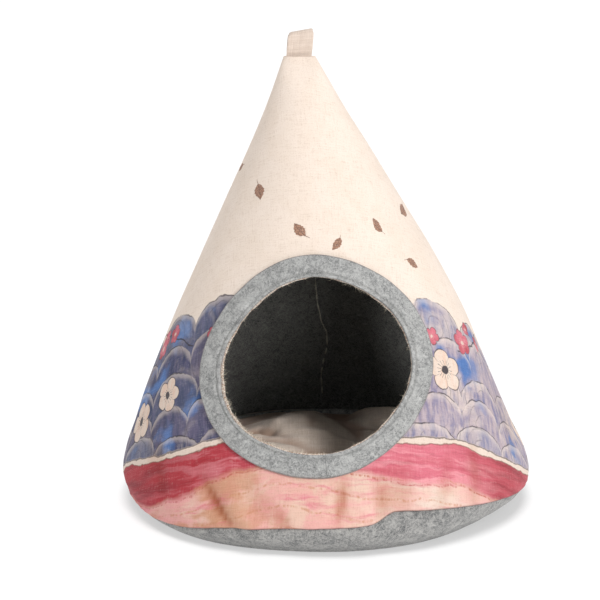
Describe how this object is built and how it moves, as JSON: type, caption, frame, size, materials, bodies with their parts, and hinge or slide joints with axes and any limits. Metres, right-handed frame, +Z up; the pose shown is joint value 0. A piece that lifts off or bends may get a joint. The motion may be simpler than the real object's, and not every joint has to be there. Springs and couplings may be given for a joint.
{
  "type": "cat teepee",
  "caption": "Tall leaning cloth cone for a cat on a shallow felt base, with a round felt-ringed entrance, a felt lining, a filled cushion and a carrying loop.",
  "frame": {"origin": "on the floor under the middle of the base", "axes": "+Z up the cone to the loop, -Y out of the entrance, +X to the right as seen from in front"},
  "size_m": [0.4103, 0.4014, 0.4714],
  "materials": {
    "printed_cloth": "slubbed plain weave with a soft printed picture, matte",
    "charcoal_felt": "pressed felt, matte",
    "pale_felt": "mottled pressed felt, matte",
    "base_felt": "mottled pressed felt, matte",
    "cushion_cloth": "coarse plain weave, matte",
    "loop_cloth": "plain weave, matte"
  },
  "bodies": {
    "root": {"cover": "printed_cloth", "lining": "charcoal_felt", "entrance_ring": "pale_felt", "base": "base_felt", "cushion": "cushion_cloth", "hanging_loop": "loop_cloth"}
  },
  "joints": []
}
